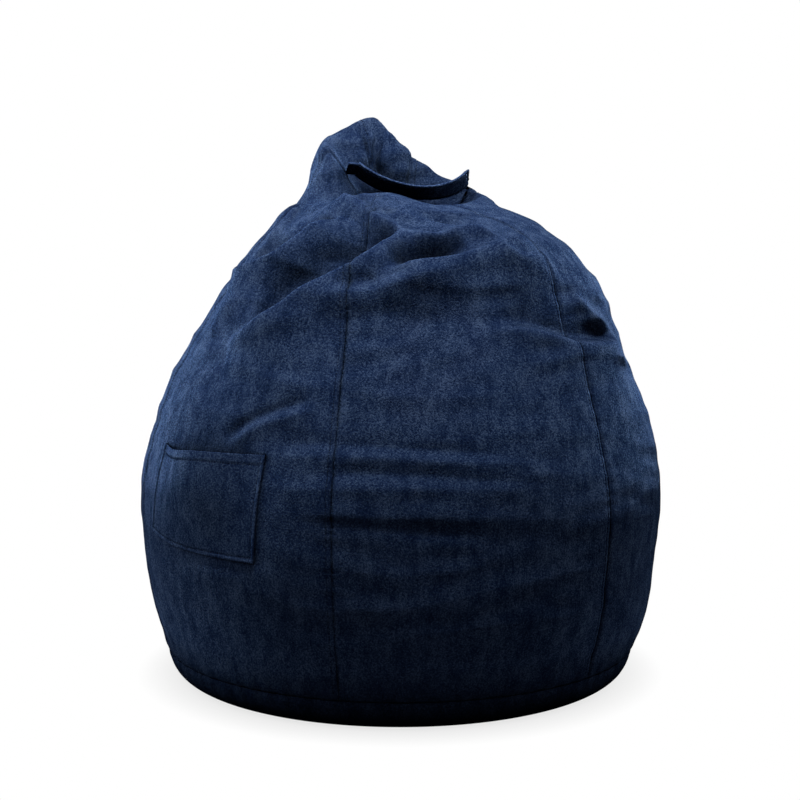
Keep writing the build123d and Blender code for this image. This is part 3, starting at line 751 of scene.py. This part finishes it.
u, v = np.meshgrid(across, up_share)
places = np.array([[pocket_place(a, b) for a in across] for b in up_share])
points, pocket_normals = cloth(places[..., 0].ravel(), places[..., 1].ravel()[None])
pocket_points = points[0].reshape(*places.shape[:2], 3)
pocket_normals = pocket_normals[0].reshape(*places.shape[:2], 3)
lift = pocket_lift(u, v)
lift[-len(POCKET_TURN) :] -= POCKET_T * np.array([[inward] for _, inward in POCKET_TURN])
lift[0] = -POCKET_TUCK
lift[:, 0] = -POCKET_TUCK
lift[:, -1] = -POCKET_TUCK
pocket_mesh = add_mesh(
    "pocket_cloth",
    pocket_points + pocket_normals * lift[..., None],
    grid_faces(len(up_share), len(across)),
    cover_cloth,
)
pocket = sewn(pocket_mesh, "pocket")


def pocket_row(name, u, v):
    """A row of stitches over the pocket."""
    place = np.array([pocket_place(a, b) for a, b in zip(u, v)])
    points, normals = cloth(place[:, 0], place[None, :, 1])
    stitches(name, points[0] + normals[0] * pocket_lift(u, v)[:, None], normals[0])


inset_u = POCKET_INSET / POCKET_W
inset_v = POCKET_INSET / POCKET_H
steady = np.ones(POCKET_ROW_STEPS)
row_up = np.linspace(inset_v, 1, POCKET_ROW_STEPS)
row_across = np.linspace(inset_u, 1 - inset_u, POCKET_ROW_STEPS)
pocket_row("pocket_stitches_left", inset_u * steady, row_up)
pocket_row("pocket_stitches_right", (1 - inset_u) * steady, row_up)
pocket_row("pocket_stitches_foot", row_across, inset_v * steady)
pocket_row("pocket_stitches_hem", row_across, (1 - POCKET_HEM / POCKET_H) * steady)

# Carry handle. A strip of the cover cloth is folded to a flat strap, topstitched along both edges and
# sewn at its two ends into opposite seams, so that it hangs in the dip and lifts in a hand.
HANDLE_LEFT = dict(azimuth=240, radius=0.068, z=0.776)
HANDLE_RIGHT = dict(azimuth=60, radius=0.108, z=0.764)
HANDLE_BOW = 0.042
HANDLE_FALL = 45
HANDLE_W = 0.028
HANDLE_T = 0.0052
HANDLE_GAP = 0.0021
HANDLE_EDGE = 0.004
HANDLE_SWAY = 0.7
TAB_W = 0.023
TAB_LEFT_L = 0.0145
TAB_RIGHT_W = 0.018
TAB_RIGHT_T = HANDLE_T * 0.8
TAB_RIGHT_DROP = 0.004
TAB_STEPS = 24
TAB_BEND_STEPS = 8
STRAP_GROOVE = 0.0005
STRAP_GROOVE_W = 0.0010
# Painted light: the strap is the cover's cloth, but its colour is set this many times lighter, and its
# painted shade in hollows is weaker
STRAP_PAINTED_LIGHT = 1.7
STRAP_PAINTED_SHADE = 0.3
STRAP_STEPS = 90
STRAP_SIDES = 60
UP = np.array([0, 0, 1])

# The right tab's line from the strap's end to its seam: how far on, back and down
TAB_RIGHT_LINE = [
    (0, 0, 0),
    (0.0030, 0, 0),
    (0.0050, 0.0040, 0.0020),
    (0.0050, 0.0100, 0.0070),
    (0.0030, 0.0160, 0.0130),
]


def spot(azimuth, radius, z):
    angle = math.radians(azimuth)
    return np.array([radius * math.sin(angle), -radius * math.cos(angle), z])


def unit(vector):
    return vector / np.linalg.norm(vector, axis=-1, keepdims=True)


def strap(name, path, across, width, thickness, *nodes, body):
    """A flat strap with rounded, stitched edges along a path, with the direction across it at each point."""
    way = unit(np.gradient(path, axis=0))
    across = unit(across - way * (across * way).sum(1, keepdims=True))
    out = np.cross(way, across)
    angle = np.linspace(0, 2 * math.pi, STRAP_SIDES, endpoint=False)
    x = width / 2 * np.sign(np.cos(angle)) * np.abs(np.cos(angle)) ** 0.6
    rim = np.clip(1 - np.abs(2 * x / width) ** 6, 0, 1) ** 0.5
    groove = STRAP_GROOVE * bell(np.abs(x) - width / 2 + HANDLE_EDGE, STRAP_GROOVE_W)
    y = np.sign(np.sin(angle)) * (thickness / 2 * rim - groove)
    points = path[:, None] + across[:, None] * x[None, :, None] + out[:, None] * y[None, :, None]
    faces = grid_faces(len(path), STRAP_SIDES, closed=True)
    faces.append(list(range(STRAP_SIDES))[::-1])
    faces.append(list(range((len(path) - 1) * STRAP_SIDES, len(path) * STRAP_SIDES)))
    sewn(add_mesh(name, points, faces, strap_cloth), *nodes, body=body)
    for edge in (-1, 1):
        line = path + across * edge * (width / 2 - HANDLE_EDGE)
        for face, title in ((1, "outer"), (-1, "inner")):
            row_name = name + "_stitches_" + title + ("_low" if edge < 0 else "_high")
            row = stitches(row_name, line + out * face * (thickness / 2 - STITCH_SINK), out * face)
            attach(row, body)


# The strap's cloth is a lighter copy of the cover's cloth: painted light, with weaker painted shade in
# hollows
strap_cloth = nap_cloth("strap_cloth", STRAP_PAINTED_LIGHT, STRAP_PAINTED_SHADE)
left_end = spot(**HANDLE_LEFT)
right_end = spot(**HANDLE_RIGHT)
handle_along = unit(right_end - left_end)
handle_span = np.linalg.norm(right_end - left_end)
fall = math.radians(HANDLE_FALL)
handle_bow = spot(HANDLE_RIGHT["azimuth"] - 90, math.cos(fall), -math.sin(fall))
handle_bow = unit(handle_bow - handle_along * (handle_bow @ handle_along))
handle_across = np.cross(handle_along, handle_bow)
arc_r = (handle_span**2 / 4 + HANDLE_BOW**2) / (2 * HANDLE_BOW)
arc_centre = (left_end + right_end) / 2 + handle_bow * (HANDLE_BOW - arc_r)
half_turn = math.asin(handle_span / 2 / arc_r)
turns = np.linspace(-half_turn, half_turn, STRAP_STEPS)[:, None]
handle_path = arc_centre + arc_r * (np.sin(turns) * handle_along + np.cos(turns) * handle_bow)
sway = HANDLE_SWAY * np.clip(turns / half_turn, 0, 1) ** 1.5
swayed = handle_across + sway * handle_bow
strap("carry_handle_strap", handle_path, swayed, HANDLE_W, HANDLE_T, "carry_handle", body="handle")

steps = np.linspace(0, 1, TAB_STEPS)[:, None]
tab_start = left_end - handle_along * HANDLE_GAP
tab_path = tab_start - handle_along * TAB_LEFT_L * steps
tab_across = np.repeat(handle_across[None], TAB_STEPS, 0)
strap("handle_tab_left_strap", tab_path, tab_across, TAB_W, HANDLE_T, "handle_tab_left", body="cover")
handle_back = -spot(HANDLE_RIGHT["azimuth"] - 90, 1, 0)
end_across = unit(handle_across + sway[-1] * handle_bow)
end_way = unit(handle_path[-1] - handle_path[-2])
tab_start = right_end + end_way * HANDLE_GAP - end_across * TAB_RIGHT_DROP
tab_line = [tab_start + end_way * on + handle_back * back - UP * down for on, back, down in TAB_RIGHT_LINE]
tab_path = through(tab_line, TAB_BEND_STEPS)
tab_across = np.repeat(end_across[None], len(tab_path), 0)
strap(
    "handle_tab_right_strap",
    tab_path,
    tab_across,
    TAB_RIGHT_W,
    TAB_RIGHT_T,
    "handle_tab_right",
    body="cover",
)

# Base zip. Two woven tapes with nylon coils close the slot in the base seam at the back; a painted
# slider with a pull tab joins the coils, and a metal clip stops it at each end.
SEAM_LEAN = math.asin((EQUATOR_Z - SEAM_Z) / WALL_R)
CHAIN_GAP = 0.00075
TAPE_W = 0.014
TAPE_DEPTH = 0.0028
TAPE_END = 0.0006
TAPE_WAVE = 0.00015
TAPE_ROWS = 7
TAPE_COLUMNS = 500
COIL_W = 0.0029
COIL_T = 0.0022
COIL_FOOT = -0.0024
COIL_R = 0.00042
COIL_PITCH = 0.0017
COIL_END = 0.0052
COIL_BENDS = 7
COIL_SIDES = 6
ZIP_NAVY = (0.0020, 0.0035, 0.0090)
PAINT_NAVY = (0.0045, 0.0060, 0.0120)
zip_weave = grained("zip_weave", ZIP_NAVY, 0.8, 1500.0, 0.0003, gloss=0.05)
zip_nylon = grained("zip_nylon", ZIP_NAVY, 0.4, 800.0, 0.0001, gloss=0.15)
zip_paint = grained("zip_paint", PAINT_NAVY, 0.35, 500.0, 0.00005, metallic=0.4)
finish_nodes(zip_paint, "zip_stops", "zip_slider", "zip_pull")


def by_zip(azimuth, up_wall, out):
    """A point beside the zip's middle line: its distance up the wall and out of the bag."""
    r = wall_radius(SEAM_Z) + up_wall * math.sin(SEAM_LEAN) + out * math.cos(SEAM_LEAN)
    z = SEAM_Z + up_wall * math.cos(SEAM_LEAN) - out * math.sin(SEAM_LEAN)
    angle = np.radians(azimuth)
    return np.stack(np.broadcast_arrays(r * np.sin(angle), -r * np.cos(angle), z), -1)


def zip_angle(length):
    """The azimuth that a length along the zip takes up."""
    return math.degrees(length / wall_radius(SEAM_Z))


tape_end = zip_angle(TAPE_END)
coil_end = zip_angle(COIL_END)
for side, title in ((1, "upper"), (-1, "lower")):
    azimuth = np.linspace(ZIP_START + tape_end, ZIP_END - tape_end, TAPE_COLUMNS)
    up_wall = side * (CHAIN_GAP + TAPE_W * np.linspace(0, 1, TAPE_ROWS))[:, None]
    tape_points = by_zip(azimuth, up_wall, -TAPE_DEPTH + TAPE_WAVE * np.sin(azimuth * 7))
    tape_faces = grid_faces(TAPE_ROWS, TAPE_COLUMNS)
    tape = add_mesh("zip_tape_" + title + "_weave", tape_points, tape_faces, zip_weave)
    sewn(tape, "zip_tape_" + title, slot="zip_tape")
    starts = np.arange(ZIP_START + coil_end, ZIP_END - coil_end, zip_angle(COIL_PITCH))
    rings = []
    for bend in np.linspace(0, math.pi, COIL_BENDS):
        loop_up = CHAIN_GAP + COIL_W / 2 * (1 + math.cos(bend)) * (1 - 2 * COIL_R / COIL_W) + COIL_R
        loop_out = COIL_FOOT + COIL_R + (COIL_T - 2 * COIL_R) * math.sin(bend)
        for turn in range(COIL_SIDES):
            angle = 2 * math.pi * turn / COIL_SIDES
            offset = zip_angle(COIL_R * math.cos(angle))
            rings.append(by_zip(starts + offset, side * loop_up, loop_out + COIL_R * math.sin(angle)))
    verts = np.array(rings).transpose(1, 0, 2)
    faces = repeat_faces(COIL_BENDS, COIL_SIDES, len(starts))
    coil = add_mesh("zip_coil_" + title + "_loops", verts, faces, zip_nylon)
    sewn(coil, "zip_coil_" + title, slot="zip_coil")

# Stage. A white floor and backdrop that throw only a little light, with a soft shadow where the bag
# stands; one lamp high in front of the bag, a softer one at each side and one behind; and the camera at
# the front left.
FLOOR_HALF = 6
FLOOR_Z = -0.0004
FLOOR_GREY = (0.25, 0.25, 0.25, 1)
WHITE = (1, 1, 1, 1)
SKY_LIGHT = 0.015
SHADOW_REACH = 0.06
SHADOW_DEPTH = 0.25
CAMERA_AZIMUTH = math.radians(-47)
CAMERA_DISTANCE = 2.25
CAMERA_Z = 0.628
CAMERA_AIM_Z = 0.419
CAMERA_LENS = 64.85

floor_material = bpy.data.materials.new("floor")
floor_material.use_nodes = True
tree = floor_material.node_tree
paint = tree.nodes["Principled BSDF"]
paint.inputs["Base Color"].default_value = FLOOR_GREY
paint.inputs["Roughness"].default_value = 0.9


def seen_rays(tree):
    """A factor of 1 for rays from the camera, off glossy pieces or through clear ones, and else 0."""
    path = node(tree, "ShaderNodeLightPath").outputs
    both = {0: path["Is Camera Ray"], 1: path["Is Glossy Ray"]}
    seen = node(tree, "ShaderNodeMath", both, operation="MAXIMUM").outputs["Value"]
    both = {0: seen, 1: path["Is Transmission Ray"]}
    return node(tree, "ShaderNodeMath", both, operation="MAXIMUM").outputs["Value"]


open_sky = node(tree, "ShaderNodeAmbientOcclusion", {"Distance": SHADOW_REACH}, samples=8).outputs["AO"]
shadow = {0: open_sky, 1: SHADOW_DEPTH, 2: 1 - SHADOW_DEPTH}
shadow = node(tree, "ShaderNodeMath", shadow, operation="MULTIPLY_ADD").outputs["Value"]
white = node(tree, "ShaderNodeEmission", {"Color": WHITE, "Strength": shadow}).outputs["Emission"]
floor_mix = {0: seen_rays(tree), 1: paint.outputs["BSDF"], 2: white}
mixed = node(tree, "ShaderNodeMixShader", floor_mix).outputs["Shader"]
tree.links.new(mixed, tree.nodes["Material Output"].inputs["Surface"])
corners = [(-1, -1), (1, -1), (1, 1), (-1, 1)]
floor_points = [(x * FLOOR_HALF, y * FLOOR_HALF, FLOOR_Z) for x, y in corners]
floor = add_mesh("floor", floor_points, [(0, 1, 2, 3)], floor_material)

world = bpy.data.worlds.new("studio")
bpy.context.scene.world = world
world.use_nodes = True
tree = world.node_tree
dim = tree.nodes["Background"]
dim.inputs["Color"].default_value = WHITE
dim.inputs["Strength"].default_value = SKY_LIGHT
bright = node(tree, "ShaderNodeBackground", {"Color": WHITE, "Strength": 1.0}).outputs["Background"]
sky_mix = {0: seen_rays(tree), 1: dim.outputs["Background"], 2: bright}
mixed = node(tree, "ShaderNodeMixShader", sky_mix).outputs["Shader"]
tree.links.new(mixed, tree.nodes["World Output"].inputs["Surface"])


def area_light(name, place, height, aim_z, size, power, spread):
    """A round lamp over a place on the floor, turned to a height on the bag's middle line."""
    light = bpy.data.lights.new(name, "AREA")
    light.shape = "DISK"
    light.size = size
    light.energy = power
    light.spread = math.radians(spread)
    obj = bpy.data.objects.new(name, light)
    obj.location = place + Vector((0, 0, height))
    obj.rotation_euler = (Vector((0, 0, aim_z)) - obj.location).to_track_quat("-Z", "Y").to_euler()
    bpy.context.collection.objects.link(obj)


toward = Vector((math.sin(CAMERA_AZIMUTH), -math.cos(CAMERA_AZIMUTH), 0))
sideways = Vector((-toward.y, toward.x, 0))
in_front = toward * 0.75 - sideways * 0.1
at_left = -toward * 0.2 - sideways * 2.2
at_right = -toward * 0.4 + sideways * 2.1
area_light("top_light", in_front, 2.4, aim_z=0.5, size=0.5, power=36, spread=65)
area_light("left_light", at_left, 0.9, aim_z=0.4, size=1.0, power=80, spread=180)
area_light("back_light", -toward * 2.2, 1.7, aim_z=0.4, size=1.4, power=26, spread=180)
area_light("right_light", at_right, 1.1, aim_z=0.4, size=1.0, power=26, spread=180)

camera_data = bpy.data.cameras.new("camera")
camera_data.lens = CAMERA_LENS
camera_data.sensor_width = 36
camera = bpy.data.objects.new("camera", camera_data)
camera.location = toward * CAMERA_DISTANCE + Vector((0, 0, CAMERA_Z))
camera_aim = Vector((0, 0, CAMERA_AIM_Z)) - camera.location
camera.rotation_euler = camera_aim.to_track_quat("-Z", "Y").to_euler()
bpy.context.collection.objects.link(camera)
bpy.context.scene.camera = camera
bpy.context.scene.view_settings.view_transform = "Standard"
